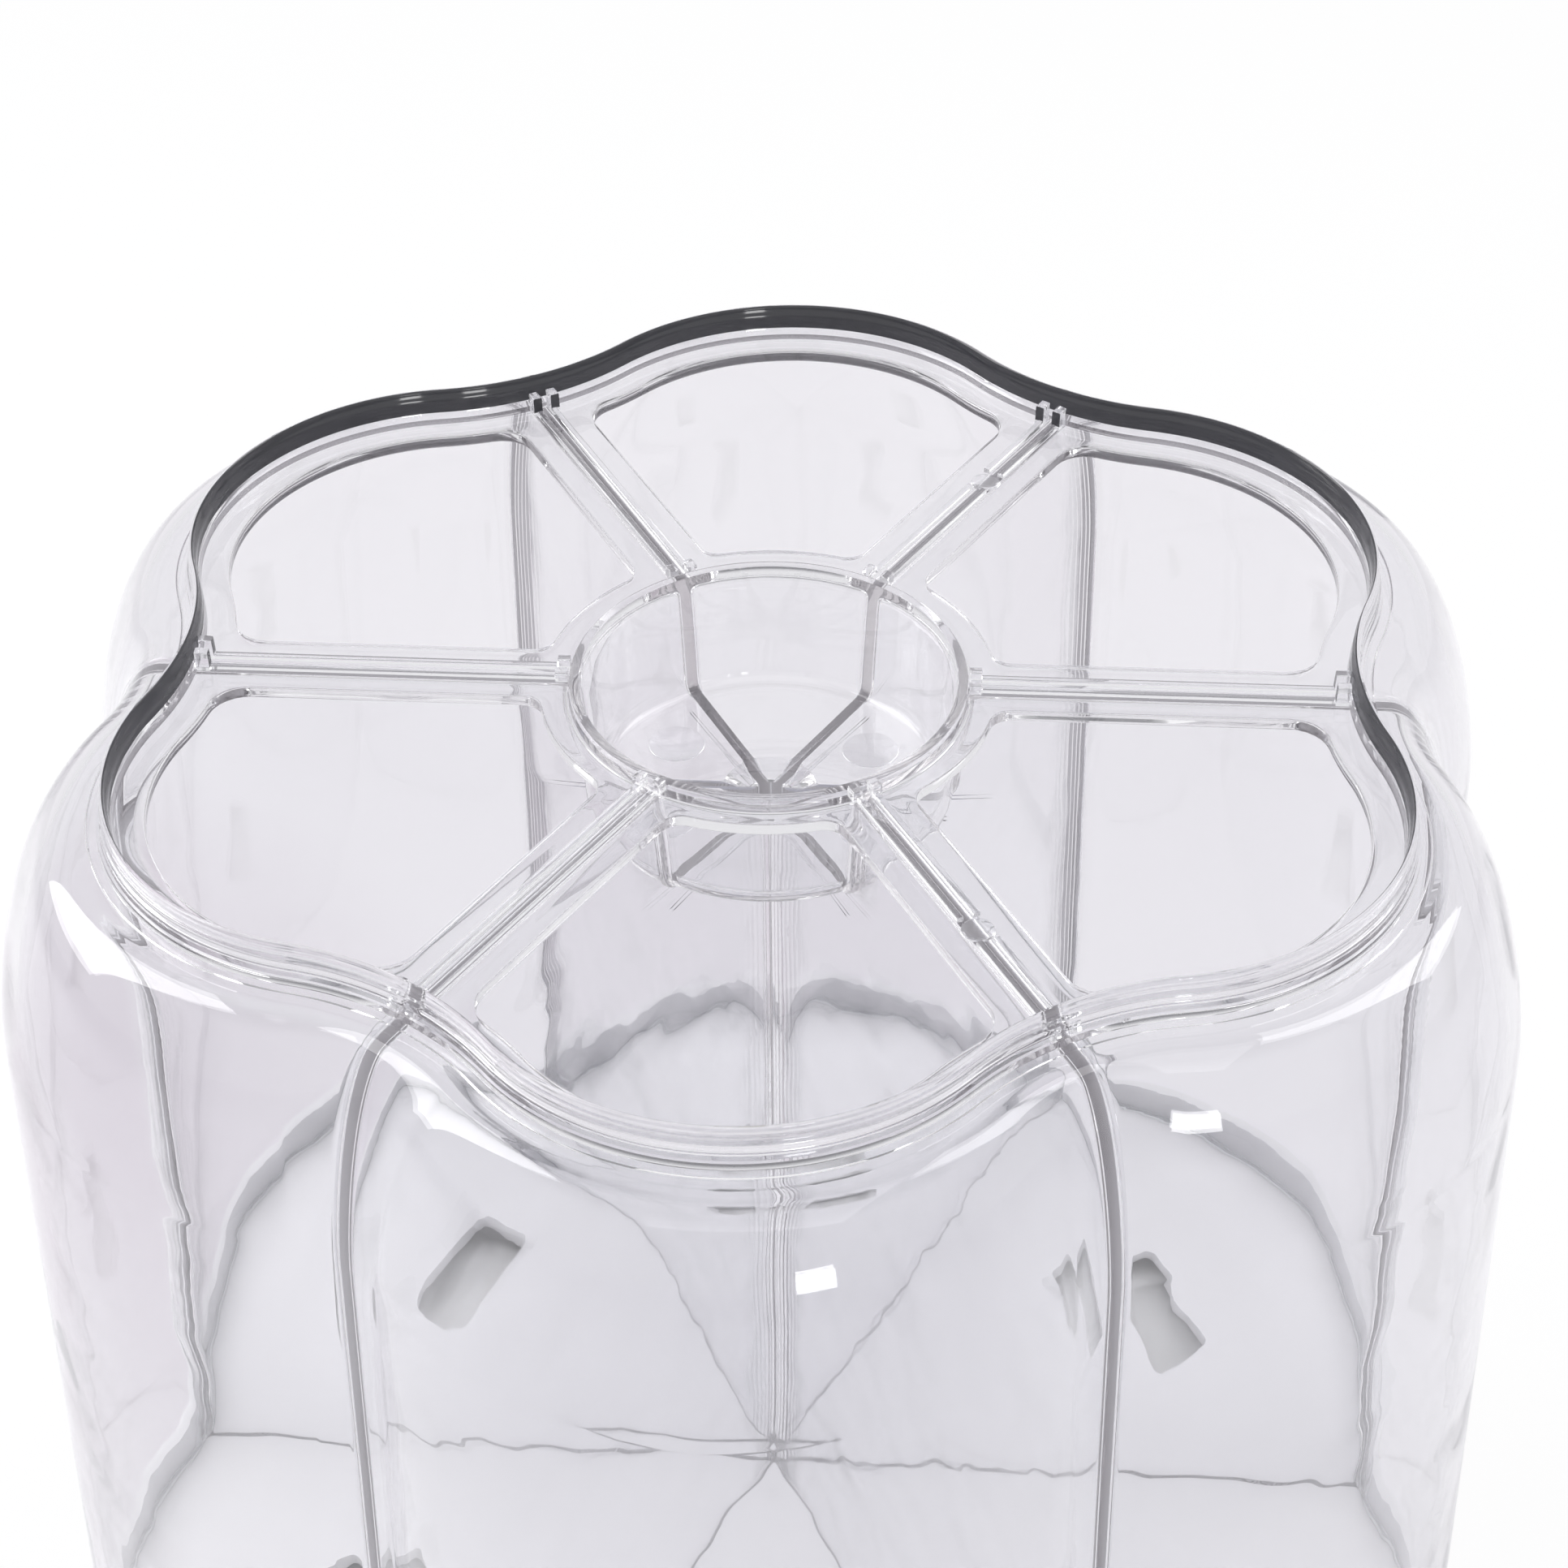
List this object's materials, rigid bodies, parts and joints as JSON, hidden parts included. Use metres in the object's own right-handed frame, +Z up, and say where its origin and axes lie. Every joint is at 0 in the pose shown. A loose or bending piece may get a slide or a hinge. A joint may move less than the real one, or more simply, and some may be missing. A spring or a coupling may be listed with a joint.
{
  "type": "rotating dry food dispenser",
  "caption": "Free-standing dry food dispenser: a clear lobed hopper with open-topped compartments turns on a round base with a push button, a sliding gate and a bay for a cup.",
  "frame": {"origin": "on the table, on the axis that the hopper turns about", "axes": "+Z up along the turning axis, -Y towards the button, spout and cup bay, +X to the right seen from the front"},
  "size_m": [0.3, 0.3212, 0.323],
  "materials": {
    "clear_plastic": "clear gloss",
    "white_plastic": "satin gloss",
    "white_matte_plastic": "matte",
    "button_plastic": "satin",
    "bezel_plastic": "satin",
    "acetal": "smooth",
    "silicone": "soft matte",
    "foot_rubber": "matte",
    "steel": "zinc plated"
  },
  "bodies": {
    "base": {"base_housing": "white_plastic", "base_plate": "white_matte_plastic", "base_plate_screws": "steel", "bearing_bush": "acetal", "button_bezel": "bezel_plastic", "chute_screws": "steel", "deck": "white_matte_plastic", "deck_screws": "steel", "detent_cap": "white_matte_plastic", "detent_spring": "steel", "gate_springs": "steel", "glide_pads": "acetal", "glide_ring": "acetal", "outlet_chute": "white_matte_plastic", "outlet_seal": "silicone", "rubber_feet": "foot_rubber", "spring_bracket": "white_matte_plastic", "spring_bracket_screws": "steel"},
    "hopper": {"hopper_shell": "clear_plastic", "turntable": "white_plastic", "shell_gasket": "silicone", "spindle": "steel", "spindle_screws": "steel", "retaining_washer": "steel", "retaining_screw": "steel", "detent_ring": "acetal", "detent_ring_screws": "steel"},
    "gate": {"gate_plate": "acetal", "push_button": "button_plastic", "button_screws": "steel"},
    "detent": {"detent_plunger": "acetal"}
  },
  "joints": [
    {"name": "hopper_turn", "type": "hinge", "parent": "base", "child": "hopper", "pos_m": [0, 0, 0.084], "axis": [0, 0, 1], "continuous": true},
    {"name": "button_press", "type": "slide", "parent": "base", "child": "gate", "axis": [0, 1, 0], "range_m": [0, 0.02], "stiffness_N_per_m": 150, "springref_m": -0.01, "deforming": ["gate_springs"]},
    {"name": "detent_press", "type": "slide", "parent": "base", "child": "detent", "axis": [0, 0, -1], "range_m": [0, 0.0015], "stiffness_N_per_m": 1500, "springref_m": -0.001, "deforming": ["detent_spring"]}
  ]
}
